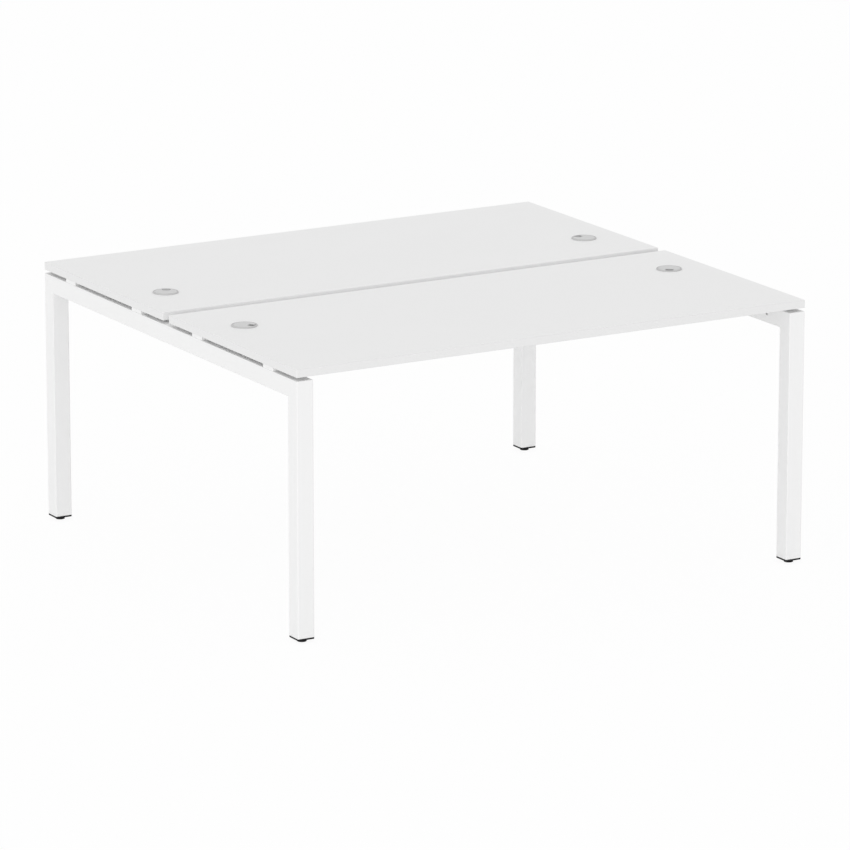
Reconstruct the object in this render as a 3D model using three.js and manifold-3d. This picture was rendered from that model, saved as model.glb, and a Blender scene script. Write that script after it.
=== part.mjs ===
// Benching desk for two: two tops, face to face, on welded steel end frames.
// Millimetres, +Z up. The origin is on the floor, under the middle of the desk.
// +X runs along the desk to the right, and -Y is the front.

import * as THREE from 'three';
import { mergeVertices } from 'three/addons/utils/BufferGeometryUtils.js';
import Module from 'manifold-3d';

const wasm = await Module();
wasm.setup();

// Tops: melamine-faced board with a glued edge band
const DESK_LENGTH = 1600;
const DESK_HEIGHT = 750;
const TOP_DEPTH = 720;
const TOP_THICKNESS = 22;
const TOP_SPACING = 35;
const BAND_THICKNESS = 2;

// End frames: square tube, mitred and welded
const TUBE_SIDE = 50;
const TUBE_WALL = 2;
const TUBE_CORNER = 3;
const ACCESSORY_HOLE_DIAMETER = 7;
const ACCESSORY_HOLE_INSET = 115;

// Spacers that hold the tops clear of the frames
const SPACER_HEIGHT = 10;
const SPACER_LENGTH = 55;
const SPACER_INSET = 1;
const SPACER_OFFSET = 200;

// Screws that run up through crossbar and spacer into the tops
const SCREW_DIAMETER = 5;
const SCREW_HEAD_RIM = 2.5;
const SCREW_HEAD_HEIGHT = 3;
const SCREW_POINT = 4;
const SCREW_COVER = 7;
const SCREW_ACCESS_CLEARANCE = 2;

// Stretcher beams with welded end plates
const BEAM_HEIGHT = 40;
const BEAM_WIDTH = 25;
const BEAM_WALL = 2;
const BEAM_CORNER = 2;
const PLATE_THICKNESS = 4;
const PLATE_EAR = 30;

// Hexagon bolts that hold the end plates to the crossbars
const BOLT_DIAMETER = 8;
const BOLT_HEAD_RIM = 3.5;
const BOLT_HEAD_HEIGHT = 5.3;
const BOLT_TAIL = 12;

// Levelling feet: plug in the tube, threaded stud, round pad
const FOOT_HEIGHT = 8.5;
const PLUG_FLANGE = 5;
const PLUG_DEPTH = 25;
const STUD_DIAMETER = 8;
const STUD_STANDOUT = 10;
const STUD_CHAMFER = 1;
const PAD_DIAMETER = 26;
const PAD_CHAMFER = 1;
const PAD_RIM_HEIGHT = 4;
const PAD_NECK_WALL = 5;
const PAD_FLOOR = 3;

// Cable grommets: flanged liner and a turning cap with a notch
const GROMMET_HOLE_DIAMETER = 60;
const GROMMET_END_INSET = 120;
const GROMMET_BACK_INSET = 211;
const LINER_WALL = 2;
const LINER_DEPTH = 18;
const FLANGE_SEAT = 1.4;
const FLANGE_RIM = 4.7;
const FLANGE_BEVEL = 2;
const CAP_THICKNESS = 1.8;
const CAP_LEDGE = 3.3;
const SKIRT_WALL = 2;
const SKIRT_DEPTH = 6;
const NOTCH_START = 11;
const NOTCH_INNER_WIDTH = 20;
const NOTCH_RIM_WIDTH = 28;
const NOTCH_CORNER = 5;

// Clearances, and the steps of round forms
const FIT_CLEARANCE = 0.3;
const RUN_CLEARANCE = 0.3;
const WELD_GAP = 0.3;
const SHARPEST_CORNER = 0.5;
const CUT_MARGIN = 1;
const MERGE_TOLERANCE = 1e-4;
const CORNER_STEPS = 2;
const SMALL_ROUND_STEPS = 12;
const LARGE_ROUND_STEPS = 32;
const HEXAGON = 6;
const QUARTER_TURN = Math.PI / 2;

// Levels and places that follow from the sizes
const TOP_UNDERSIDE = DESK_HEIGHT - TOP_THICKNESS;
const FRAME_TOP = TOP_UNDERSIDE - SPACER_HEIGHT;
const CROSSBAR_LEVEL = FRAME_TOP - TUBE_SIDE / 2;
const LEG_BOTTOM = FOOT_HEIGHT + PLUG_FLANGE;
const LEG_LENGTH = FRAME_TOP - LEG_BOTTOM;
const DESK_DEPTH = 2 * TOP_DEPTH + TOP_SPACING;
const FRAME_X = DESK_LENGTH / 2 - TUBE_SIDE / 2;
const FRAME_INNER_X = DESK_LENGTH / 2 - TUBE_SIDE;
const LEG_Y = DESK_DEPTH / 2 - TUBE_SIDE / 2;
const TOP_Y = (TOP_DEPTH + TOP_SPACING) / 2;
const BEAM_LENGTH = 2 * (FRAME_INNER_X - PLATE_THICKNESS);
const BOLT_OFFSET = (BEAM_WIDTH + PLATE_EAR) / 2;
const GROMMET_X = DESK_LENGTH / 2 - GROMMET_END_INSET;
const GROMMET_Y = TOP_DEPTH / 2 - GROMMET_BACK_INSET;
const SCREW_HOLE_DIAMETER = SCREW_DIAMETER + 2 * FIT_CLEARANCE;
const BOLT_HOLE_DIAMETER = BOLT_DIAMETER + 2 * FIT_CLEARANCE;
const STUD_BORE_DIAMETER = STUD_DIAMETER + 2 * RUN_CLEARANCE;
const SCREW_BITE = TOP_THICKNESS - SCREW_COVER;
const LINER_RADIUS = GROMMET_HOLE_DIAMETER / 2 - FIT_CLEARANCE;
const LINER_BORE = LINER_RADIUS - LINER_WALL;
const CAP_RADIUS = LINER_BORE + CAP_LEDGE;
const FLANGE_HEIGHT = FLANGE_SEAT + RUN_CLEARANCE + CAP_THICKNESS;

// The four corners of the desk: which end, and which user's side
const SIDES = [['left', -1], ['right', 1]];
const ROWS = [['front', -1], ['rear', 1]];
const PLACES = [['outer', 1], ['inner', -1]];

// Turn of each cap's notch about +Z, in degrees from +X
const NOTCH_TURNS = { front_left: -45, front_right: 240, rear_left: 57, rear_right: 105 };

const FINISHES = {
  melamine: { color: 0xe8e8e8, roughness: 0.5, metalness: 0 },
  edging: { color: 0xe8e8e8, roughness: 0.45, metalness: 0 },
  powder: { color: 0xf0f0f0, roughness: 0.4, metalness: 0 },
  liner: { color: 0xbcbcbc, roughness: 0.4, metalness: 0 },
  cap: { color: 0xcfcfcf, roughness: 0.4, metalness: 0 },
  black: { color: 0x1c1c1c, roughness: 0.5, metalness: 0 },
  zinc: { color: 0xb9bcc0, roughness: 0.35, metalness: 1 },
};

// Axes for turning a form that is drawn flat and extruded upwards
const X_AXIS = new THREE.Vector3(1, 0, 0);
const Y_AXIS = new THREE.Vector3(0, 1, 0);
const Z_AXIS = new THREE.Vector3(0, 0, 1);
const ALONG_X = new THREE.Matrix4().makeBasis(Y_AXIS, Z_AXIS, X_AXIS);
const ALONG_Y = new THREE.Matrix4().makeBasis(Z_AXIS, X_AXIS, Y_AXIS);
const UPRIGHT = new THREE.Matrix4().makeBasis(X_AXIS, Z_AXIS, Y_AXIS.clone().negate());

// A closed solid from a geometry, with its shared corners merged
function solid(geometry) {
  const bare = geometry.clone();
  bare.deleteAttribute('normal');
  bare.deleteAttribute('uv');
  const merged = mergeVertices(bare, MERGE_TOLERANCE);
  const corners = merged.index.array;
  const triangles = [];
  for (let i = 0; i < corners.length; i += 3) {
    const [a, b, c] = corners.slice(i, i + 3);
    if (a !== b && b !== c && c !== a) {
      triangles.push(a, b, c);
    }
  }
  const vertProperties = merged.attributes.position.array;
  const triVerts = Uint32Array.from(triangles);
  return new wasm.Manifold(new wasm.Mesh({ numProp: 3, vertProperties, triVerts }));
}

function geometryOf(body) {
  const { vertProperties, triVerts } = body.getMesh();
  const geometry = new THREE.BufferGeometry();
  geometry.setAttribute('position', new THREE.BufferAttribute(vertProperties, 3));
  geometry.setIndex(new THREE.BufferAttribute(triVerts, 1));
  return geometry;
}

function piece(name, body, finish, x, y, z) {
  const material = new THREE.MeshStandardMaterial({ ...finish, flatShading: true });
  const mesh = new THREE.Mesh(geometryOf(body), material);
  mesh.name = name;
  mesh.position.set(x, y, z);
  return mesh;
}

function rectangle(path, width, height) {
  path.moveTo(width / 2, height / 2);
  path.lineTo(-width / 2, height / 2);
  path.lineTo(-width / 2, -height / 2);
  path.lineTo(width / 2, -height / 2);
  path.closePath();
  return path;
}

function roundedRectangle(path, width, height, corner) {
  const x = width / 2 - corner;
  const y = height / 2 - corner;
  path.absarc(x, y, corner, 0, QUARTER_TURN);
  path.absarc(-x, y, corner, QUARTER_TURN, 2 * QUARTER_TURN);
  path.absarc(-x, -y, corner, 2 * QUARTER_TURN, 3 * QUARTER_TURN);
  path.absarc(x, -y, corner, 3 * QUARTER_TURN, 4 * QUARTER_TURN);
  path.closePath();
  return path;
}

function circle(x, y, diameter) {
  return new THREE.Path().absarc(x, y, diameter / 2, 0, 4 * QUARTER_TURN);
}

function polygon(points) {
  return new THREE.Shape(points.map(([x, y]) => new THREE.Vector2(x, y)));
}

// A drawn outline, extruded from z = 0; each arc gets twice the given steps
function extrude(shape, depth, curveSegments = CORNER_STEPS) {
  return new THREE.ExtrudeGeometry(shape, { depth, curveSegments, bevelEnabled: false });
}

// A profile of [radius, height] corners, turned about +Z
function turned(profile, steps) {
  const points = profile.map(([radius, height]) => new THREE.Vector2(radius, height));
  return solid(new THREE.LatheGeometry(points, steps).applyMatrix4(UPRIGHT));
}

// A straight round or hexagon bar along +Z between two levels
function bar(diameter, low, high, steps = SMALL_ROUND_STEPS) {
  const rod = new THREE.CylinderGeometry(diameter / 2, diameter / 2, high - low, steps);
  return rod.applyMatrix4(UPRIGHT).translate(0, 0, (low + high) / 2);
}

// The same bar along X, from one x to another in either direction
function barAlongX(diameter, from, to, steps = SMALL_ROUND_STEPS) {
  return bar(diameter, Math.min(from, to), Math.max(from, to), steps).applyMatrix4(ALONG_X);
}

// A hollow section, extruded from z = 0; the bore's corners follow the outer ones
function tube(width, height, wall, corner, length) {
  const shape = roundedRectangle(new THREE.Shape(), width, height, corner);
  const boreCorner = Math.max(corner - wall, SHARPEST_CORNER);
  const bore = roundedRectangle(new THREE.Path(), width - 2 * wall, height - 2 * wall, boreCorner);
  shape.holes.push(bore);
  return extrude(shape, length);
}

function cutAll(body, cutters) {
  return cutters.reduce((left, cutter) => left.subtract(solid(cutter)), body);
}

// A wedge across the tube's width that trims a mitred end; its corners are [y, z]
function mitreWedge(corners) {
  const width = TUBE_SIDE + 2 * CUT_MARGIN;
  return extrude(polygon(corners), width).translate(0, 0, -width / 2).applyMatrix4(ALONG_X);
}

// Leg from z = 0; its top is mitred towards the crossbar, which leaves in +Y or -Y
function leg(towards) {
  const reach = TUBE_SIDE / 2 + CUT_MARGIN;
  const gap = WELD_GAP * Math.SQRT2;
  const outerEdge = [-towards * reach, LEG_LENGTH + CUT_MARGIN - gap];
  const innerEdge = [towards * reach, LEG_LENGTH - TUBE_SIDE - CUT_MARGIN - gap];
  const above = [towards * reach, LEG_LENGTH + CUT_MARGIN];
  const blank = solid(tube(TUBE_SIDE, TUBE_SIDE, TUBE_WALL, TUBE_CORNER, LEG_LENGTH));
  return cutAll(blank, [mitreWedge([outerEdge, innerEdge, above])]);
}

// Places along a crossbar where the screws go up into the tops
function screwPlaces() {
  return ROWS.flatMap(([, row]) => PLACES.map(([, place]) => row * (TOP_Y + place * SPACER_OFFSET)));
}

// Crossbar about its own middle, along Y; inward is the X direction to the desk's middle
function crossbar(inward) {
  const half = TUBE_SIDE / 2;
  const blank = tube(TUBE_SIDE, TUBE_SIDE, TUBE_WALL, TUBE_CORNER, DESK_DEPTH);
  blank.translate(0, 0, -DESK_DEPTH / 2).applyMatrix4(ALONG_Y);
  const cutters = [];
  for (const [, row] of ROWS) {
    const end = row * (DESK_DEPTH / 2 + CUT_MARGIN);
    const inner = row * (DESK_DEPTH / 2 - TUBE_SIDE - CUT_MARGIN);
    const low = -half - CUT_MARGIN;
    cutters.push(mitreWedge([[end, half + CUT_MARGIN], [inner, low], [end, low]]));
  }
  for (const y of screwPlaces()) {
    const wallTop = half + CUT_MARGIN;
    const wallInside = half - TUBE_WALL - CUT_MARGIN;
    const access = SCREW_DIAMETER + 2 * (SCREW_HEAD_RIM + SCREW_ACCESS_CLEARANCE);
    cutters.push(bar(SCREW_HOLE_DIAMETER, wallInside, wallTop).translate(0, y, 0));
    cutters.push(bar(access, -wallTop, -wallInside).translate(0, y, 0));
  }
  const wallFrom = inward * (half - TUBE_WALL - CUT_MARGIN);
  const wallTo = inward * (half + CUT_MARGIN);
  for (const [, row] of ROWS) {
    for (const [, place] of PLACES) {
      const y = row * (TOP_Y + place * BOLT_OFFSET);
      cutters.push(barAlongX(BOLT_HOLE_DIAMETER, wallFrom, wallTo).translate(0, y, 0));
    }
    const accessory = row * (DESK_DEPTH / 2 - ACCESSORY_HOLE_INSET);
    const hole = barAlongX(ACCESSORY_HOLE_DIAMETER, wallFrom, wallTo);
    cutters.push(hole.translate(0, accessory, 0));
  }
  return cutAll(solid(blank), cutters);
}

// Board from its underside at z = 0; row says which way its back edge lies
function board(row) {
  const width = DESK_LENGTH - 2 * BAND_THICKNESS;
  const depth = TOP_DEPTH - 2 * BAND_THICKNESS;
  const shape = rectangle(new THREE.Shape(), width, depth);
  for (const [, side] of SIDES) {
    shape.holes.push(circle(side * GROMMET_X, -row * GROMMET_Y, GROMMET_HOLE_DIAMETER));
  }
  const blank = extrude(shape, TOP_THICKNESS, LARGE_ROUND_STEPS / 2);
  const pilots = [];
  for (const [, side] of SIDES) {
    for (const [, place] of PLACES) {
      const pilot = bar(SCREW_HOLE_DIAMETER, -CUT_MARGIN, SCREW_BITE + FIT_CLEARANCE);
      pilots.push(pilot.translate(side * FRAME_X, place * SPACER_OFFSET, 0));
    }
  }
  return cutAll(solid(blank), pilots);
}

// One strip of edging, glued right round a board
function edgeBand() {
  const shape = rectangle(new THREE.Shape(), DESK_LENGTH, TOP_DEPTH);
  const width = DESK_LENGTH - 2 * BAND_THICKNESS;
  const depth = TOP_DEPTH - 2 * BAND_THICKNESS;
  shape.holes.push(rectangle(new THREE.Path(), width, depth));
  return solid(extrude(shape, TOP_THICKNESS));
}

function spacer() {
  const shape = rectangle(new THREE.Shape(), TUBE_SIDE - 2 * SPACER_INSET, SPACER_LENGTH);
  shape.holes.push(circle(0, 0, SCREW_HOLE_DIAMETER));
  return solid(extrude(shape, SPACER_HEIGHT, SMALL_ROUND_STEPS / 2));
}

// Pan-head screw, point up, with the underside of its head at z = 0
function topScrew() {
  const radius = SCREW_DIAMETER / 2;
  const headRadius = radius + SCREW_HEAD_RIM;
  const tip = TUBE_WALL + SPACER_HEIGHT + SCREW_BITE;
  return turned([
    [0, -SCREW_HEAD_HEIGHT],
    [radius, -SCREW_HEAD_HEIGHT],
    [headRadius, -SCREW_HEAD_HEIGHT / 2],
    [headRadius, 0],
    [radius, 0],
    [radius, tip - SCREW_POINT],
    [0, tip],
  ], SMALL_ROUND_STEPS);
}

function beam() {
  const blank = tube(BEAM_WIDTH, BEAM_HEIGHT, BEAM_WALL, BEAM_CORNER, BEAM_LENGTH);
  return solid(blank.translate(0, 0, -BEAM_LENGTH / 2).applyMatrix4(ALONG_X));
}

// End plate, from x = 0 in +X, as tall as the flat of the crossbar
function beamPlate() {
  const height = TUBE_SIDE - 2 * TUBE_CORNER;
  const shape = rectangle(new THREE.Shape(), BEAM_WIDTH + 2 * PLATE_EAR, height);
  for (const [, place] of PLACES) {
    shape.holes.push(circle(place * BOLT_OFFSET, 0, BOLT_HOLE_DIAMETER));
  }
  return solid(extrude(shape, PLATE_THICKNESS, SMALL_ROUND_STEPS / 2).applyMatrix4(ALONG_X));
}

// Bolt with the underside of its head at x = 0, and the head on the inward side
function beamBolt(inward) {
  const headDiameter = BOLT_DIAMETER + 2 * BOLT_HEAD_RIM;
  const length = PLATE_THICKNESS + TUBE_WALL + BOLT_TAIL;
  const head = barAlongX(headDiameter, 0, inward * BOLT_HEAD_HEIGHT, HEXAGON);
  const shank = barAlongX(BOLT_DIAMETER, -inward * length, inward * BOLT_HEAD_HEIGHT / 2);
  return solid(head).add(solid(shank));
}

// Leg plug from the underside of its flange at z = 0, bored for the stud
function legPlug() {
  const side = TUBE_SIDE - 2 * TUBE_WALL - 2 * FIT_CLEARANCE;
  const corner = Math.max(TUBE_CORNER - TUBE_WALL, SHARPEST_CORNER);
  const outline = roundedRectangle(new THREE.Shape(), TUBE_SIDE, TUBE_SIDE, TUBE_CORNER);
  const flange = extrude(outline, PLUG_FLANGE);
  const rooted = PLUG_FLANGE / 2;
  const insert = extrude(roundedRectangle(new THREE.Shape(), side, side, corner), rooted + PLUG_DEPTH);
  const blank = solid(flange).add(solid(insert.translate(0, 0, rooted)));
  const top = PLUG_FLANGE + PLUG_DEPTH + CUT_MARGIN;
  return cutAll(blank, [bar(STUD_BORE_DIAMETER, -CUT_MARGIN, top)]);
}

// Threaded stud from z = 0, just clear of the floor of the pad's socket
function levellingStud() {
  const bottom = PAD_FLOOR + RUN_CLEARANCE;
  const length = LEG_BOTTOM + PLUG_DEPTH + STUD_STANDOUT - bottom;
  const radius = STUD_DIAMETER / 2;
  return turned([
    [0, 0],
    [radius, 0],
    [radius, length - STUD_CHAMFER],
    [radius - STUD_CHAMFER, length],
    [0, length],
  ], SMALL_ROUND_STEPS);
}

// Round pad from the floor up to just below the plug, with a socket for the stud
function footPad() {
  const radius = PAD_DIAMETER / 2;
  const height = FOOT_HEIGHT - RUN_CLEARANCE;
  const socket = STUD_BORE_DIAMETER / 2;
  return turned([
    [0, 0],
    [radius - PAD_CHAMFER, 0],
    [radius, PAD_CHAMFER],
    [radius, PAD_RIM_HEIGHT],
    [socket + PAD_NECK_WALL, height],
    [socket, height],
    [socket, PAD_FLOOR],
    [0, PAD_FLOOR],
  ], LARGE_ROUND_STEPS / 2);
}

// Flanged liner: the flange sits on the work surface at z = 0, the sleeve hangs in the hole
function grommetLiner() {
  const recess = CAP_RADIUS + RUN_CLEARANCE;
  const rim = recess + FLANGE_RIM;
  return turned([
    [LINER_BORE, -LINER_DEPTH],
    [LINER_RADIUS, -LINER_DEPTH],
    [LINER_RADIUS, 0],
    [rim, 0],
    [rim, FLANGE_HEIGHT - FLANGE_BEVEL],
    [rim - FLANGE_BEVEL, FLANGE_HEIGHT],
    [recess, FLANGE_HEIGHT],
    [recess, FLANGE_SEAT],
    [LINER_BORE, FLANGE_SEAT],
    [LINER_BORE, -LINER_DEPTH],
  ], LARGE_ROUND_STEPS);
}

// Cap: a disc that lies in the flange and a skirt that turns in the sleeve; notch towards +X
function grommetCap() {
  const skirt = LINER_BORE - RUN_CLEARANCE;
  const skirtBottom = FLANGE_SEAT - SKIRT_DEPTH;
  const underside = FLANGE_SEAT + RUN_CLEARANCE;
  const blank = turned([
    [0, underside],
    [skirt - SKIRT_WALL, underside],
    [skirt - SKIRT_WALL, skirtBottom],
    [skirt, skirtBottom],
    [skirt, underside],
    [CAP_RADIUS, underside],
    [CAP_RADIUS, FLANGE_HEIGHT],
    [0, FLANGE_HEIGHT],
  ], LARGE_ROUND_STEPS);
  const corner = Math.min(NOTCH_CORNER, NOTCH_INNER_WIDTH / 2);
  const cornerX = NOTCH_START + corner;
  const cornerY = NOTCH_INNER_WIDTH / 2 - corner;
  const notch = new THREE.Shape();
  notch.moveTo(CAP_RADIUS + CUT_MARGIN, -NOTCH_RIM_WIDTH / 2);
  notch.lineTo(CAP_RADIUS + CUT_MARGIN, NOTCH_RIM_WIDTH / 2);
  notch.absarc(cornerX, cornerY, corner, QUARTER_TURN, 2 * QUARTER_TURN);
  notch.absarc(cornerX, -cornerY, corner, 2 * QUARTER_TURN, 3 * QUARTER_TURN);
  notch.closePath();
  const depth = FLANGE_HEIGHT - skirtBottom + 2 * CUT_MARGIN;
  const cutter = extrude(notch, depth);
  return cutAll(blank, [cutter.translate(0, 0, skirtBottom - CUT_MARGIN)]);
}

// One end frame: crossbar, two legs, their feet, and the spacers and screws for the tops
function endFrame(sideName, side) {
  const frame = new THREE.Group();
  frame.position.x = side * FRAME_X;
  frame.add(piece(`crossbar_${sideName}`, crossbar(-side), FINISHES.powder, 0, 0, CROSSBAR_LEVEL));
  for (const [rowName, row] of ROWS) {
    const corner = `${rowName}_${sideName}`;
    const y = row * LEG_Y;
    const studBottom = PAD_FLOOR + RUN_CLEARANCE;
    frame.add(piece(`leg_${corner}`, leg(-row), FINISHES.powder, 0, y, LEG_BOTTOM));
    frame.add(piece(`leg_plug_${corner}`, legPlug(), FINISHES.black, 0, y, FOOT_HEIGHT));
    frame.add(piece(`levelling_stud_${corner}`, levellingStud(), FINISHES.zinc, 0, y, studBottom));
    frame.add(piece(`foot_pad_${corner}`, footPad(), FINISHES.black, 0, y, 0));
    for (const [placeName, place] of PLACES) {
      const spot = `${corner}_${placeName}`;
      const screwY = row * (TOP_Y + place * SPACER_OFFSET);
      frame.add(piece(`spacer_${spot}`, spacer(), FINISHES.powder, 0, screwY, FRAME_TOP));
      const seat = FRAME_TOP - TUBE_WALL;
      frame.add(piece(`top_screw_${spot}`, topScrew(), FINISHES.zinc, 0, screwY, seat));
    }
  }
  return frame;
}

// One stretcher beam with its end plates and bolts
function stretcher(rowName, row) {
  const group = new THREE.Group();
  group.position.set(0, row * TOP_Y, CROSSBAR_LEVEL);
  group.add(piece(`beam_${rowName}`, beam(), FINISHES.powder, 0, 0, 0));
  for (const [sideName, side] of SIDES) {
    const corner = `${rowName}_${sideName}`;
    const plateX = side < 0 ? -FRAME_INNER_X : FRAME_INNER_X - PLATE_THICKNESS;
    group.add(piece(`beam_plate_${corner}`, beamPlate(), FINISHES.powder, plateX, 0, 0));
    for (const [placeName, place] of PLACES) {
      const name = `beam_bolt_${corner}_${placeName}`;
      const x = side * (FRAME_INNER_X - PLATE_THICKNESS);
      group.add(piece(name, beamBolt(-side), FINISHES.zinc, x, row * place * BOLT_OFFSET, 0));
    }
  }
  return group;
}

// One top: board, edge band and two cable grommets
function top(rowName, row) {
  const group = new THREE.Group();
  group.position.set(0, row * TOP_Y, TOP_UNDERSIDE);
  group.add(piece(`board_${rowName}`, board(row), FINISHES.melamine, 0, 0, 0));
  group.add(piece(`edge_band_${rowName}`, edgeBand(), FINISHES.edging, 0, 0, 0));
  for (const [sideName, side] of SIDES) {
    const corner = `${rowName}_${sideName}`;
    const x = side * GROMMET_X;
    const y = -row * GROMMET_Y;
    group.add(piece(`grommet_liner_${corner}`, grommetLiner(), FINISHES.liner, x, y, TOP_THICKNESS));
    const cap = piece(`grommet_cap_${corner}`, grommetCap(), FINISHES.cap, x, y, TOP_THICKNESS);
    cap.rotation.z = THREE.MathUtils.degToRad(NOTCH_TURNS[corner]);
    group.add(cap);
  }
  return group;
}

const desk = new THREE.Group();
for (const [sideName, side] of SIDES) {
  desk.add(endFrame(sideName, side));
}
for (const [rowName, row] of ROWS) {
  desk.add(stretcher(rowName, row));
  desk.add(top(rowName, row));
}

export default desk;
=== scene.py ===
# Benching desk for two: the fine shapes and finishes of its pieces, and a plain studio around it.
# Metres, +Z up, in the frame's own axes: +X runs along the desk and -Y is the front.
import math

import bmesh
import bpy
from bpy.props import FloatProperty, FloatVectorProperty, IntProperty, PointerProperty
from bpy.types import Operator, Panel, PropertyGroup
from mathutils import Matrix, Vector


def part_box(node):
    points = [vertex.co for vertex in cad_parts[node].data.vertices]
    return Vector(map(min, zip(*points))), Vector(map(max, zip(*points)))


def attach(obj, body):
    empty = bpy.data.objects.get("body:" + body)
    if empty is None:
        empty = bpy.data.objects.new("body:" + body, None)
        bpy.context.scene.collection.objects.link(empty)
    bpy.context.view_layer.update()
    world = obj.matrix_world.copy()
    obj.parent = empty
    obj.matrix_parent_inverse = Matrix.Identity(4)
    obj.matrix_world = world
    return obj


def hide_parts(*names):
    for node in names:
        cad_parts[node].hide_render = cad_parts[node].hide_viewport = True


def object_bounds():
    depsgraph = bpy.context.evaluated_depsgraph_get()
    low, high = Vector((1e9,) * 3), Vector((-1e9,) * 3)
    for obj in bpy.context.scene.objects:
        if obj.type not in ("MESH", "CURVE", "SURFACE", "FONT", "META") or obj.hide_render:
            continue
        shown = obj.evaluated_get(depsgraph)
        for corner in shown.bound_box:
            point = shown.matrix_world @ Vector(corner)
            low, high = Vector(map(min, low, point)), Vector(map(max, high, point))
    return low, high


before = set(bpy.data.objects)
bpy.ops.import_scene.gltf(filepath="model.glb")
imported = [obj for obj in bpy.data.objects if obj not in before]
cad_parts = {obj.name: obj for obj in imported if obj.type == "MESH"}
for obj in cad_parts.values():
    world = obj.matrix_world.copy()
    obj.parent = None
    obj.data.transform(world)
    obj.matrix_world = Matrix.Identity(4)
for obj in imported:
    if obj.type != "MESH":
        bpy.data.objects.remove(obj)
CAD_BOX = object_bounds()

bl_info = {
    "name": "Benching desk for two",
    "version": (1, 0, 0),
    "blender": (4, 5, 0),
    "location": "View3D > Sidebar > Desk",
    "description": "Fine shapes and finishes for a benching desk, built around its frame",
    "category": "Object",
}

MM = 0.001
MICRON = 0.000001

# The corners of the desk, and the two fixings at each of them
SIDES = {"left": -1, "right": 1}
ROWS = {"front": -1, "rear": 1}
PLACES = ("outer", "inner")
CORNERS = [f"{row}_{side}" for row in ROWS for side in SIDES]

# Turn of each cap's notch about +Z, in degrees from +X
NOTCH_TURNS = {"front_left": -45, "front_right": 240, "rear_left": 57, "rear_right": 105}

# How finely round forms are divided
CORNER_STEPS = 6
EDGE_STEPS = 4
MITRE_STEPS = 3
SMALL_ROUND_STEPS = 48
LARGE_ROUND_STEPS = 144
THREAD_ROUND_STEPS = 24
THREAD_PITCH_STEPS = 6
BEAD_ARC_STEPS = 8
BEAD_RIPPLE_STEPS = 5
SHARP_ANGLE = math.radians(32)

# Blender's bevel profile for a circular arc
ROUND_PROFILE = 0.5

# Form of a weld bead, in shares of its leg: depth of the root in the corner, hollow of the face,
# height of the ripples, and leg at the ends of the bead
BEAD_ROOT = 0.1
BEAD_HOLLOW = 0.16
BEAD_RIPPLE = 0.07
BEAD_END = 0.6

# How far the middle of a ripple runs ahead of its ends, in ripples
BEAD_BOW = 0.4

# How far a cutter reaches past the surface that it cuts
CUT_MARGIN = 1 * MM

# How narrow the flutes of a pad are
FLUTE_POWER = 4

# Slope of the bevel round a bolt's head
BOLT_BEVEL = math.tan(math.radians(30))

# Width of the camera's frame, in millimetres
SENSOR_WIDTH = 36.0

WHITE = (1.0, 1.0, 1.0, 1.0)

# Turns a form drawn upright so that it lies along +X, with its own x along +Y
ALONG_X = Matrix(((0, 0, 1, 0), (1, 0, 0, 0), (0, 1, 0, 0), (0, 0, 0, 1)))


# Settings


def number(name, description, default, **options):
    """A number that a user can set."""
    return FloatProperty(name=name, description=description, default=default, **options)


def length(name, description, millimetres):
    """A length that a user can set, with its default given in millimetres."""
    return number(name, description, millimetres * MM, min=0.0, precision=5, unit="LENGTH")


def bearing(name, description, degrees):
    """An angle that a user can set, with its default given in degrees."""
    return number(name, description, math.radians(degrees), subtype="ANGLE")


def colour(name, description, *default):
    """A colour that a user can set, in linear light."""
    return FloatVectorProperty(
        name=name, description=description, default=default, size=3, min=0.0, max=1.0, subtype="COLOR"
    )


def position(name, description, *metres):
    """A place that a user can set."""
    return FloatVectorProperty(
        name=name, description=description, default=metres, size=3, subtype="TRANSLATION"
    )


class TopSizes(PropertyGroup):
    """Sizes of the tops"""

    band_round: length("Band round", "Radius along the upper and lower edge of the band", 1.2)
    band_corner: length("Band corner", "Radius of the band round the corners of a top", 2.5)
    board_corner: length("Board corner", "Radius of the corners of the board inside the band", 0.5)
    pilot_play: length("Pilot play", "Gap between a screw's tip and the end of its hole", 0.4)


class FrameSizes(PropertyGroup):
    """Sizes of the end frames and the beams"""

    tube_wall: length("Tube wall", "Wall of the square tube", 2.0)
    tube_corner: length("Tube corner", "Outer corner radius of the square tube", 3.0)
    bore_corner: length("Bore corner", "Inner corner radius of the square tube", 1.0)
    mitre_round: length("Mitre round", "Width of the rounding on the ground mitre edge", 1.0)
    screw_hole: length("Screw hole", "Diameter of the holes for the top screws", 5.6)
    bolt_hole: length("Bolt hole", "Diameter of the holes for the beam bolts", 8.6)
    access_hole: length("Access hole", "Diameter of the holes below the top screws", 14.0)
    accessory_hole: length("Accessory hole", "Diameter of the holes in the crossbar's inner face", 7.0)
    accessory_inset: length("Accessory inset", "From the crossbar's end to the accessory hole", 115.0)
    hole_flare: length("Hole flare", "Width of the rounding that paint leaves on a hole's rim", 0.6)
    weld_leg: length("Weld leg", "Leg of the weld bead at the inside of a mitre", 3.2)
    beam_weld_leg: length("Beam weld leg", "Leg of the weld bead between beam and end plate", 2.4)
    weld_ripple: length("Weld ripple", "Distance between the ripples of a weld bead", 2.2)
    spacer_corner: length("Spacer corner", "Corner radius of the spacers", 2.0)
    spacer_round: length("Spacer round", "Edge radius of the spacers", 0.6)
    beam_wall: length("Beam wall", "Wall of the beams", 2.0)
    beam_corner: length("Beam corner", "Outer corner radius of the beams", 2.0)
    beam_bore_corner: length("Beam bore corner", "Inner corner radius of the beams", 0.5)
    plate_corner: length("Plate corner", "Corner radius of the end plates", 4.0)
    plate_round: length("Plate round", "Edge radius of the end plates", 0.5)


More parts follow.
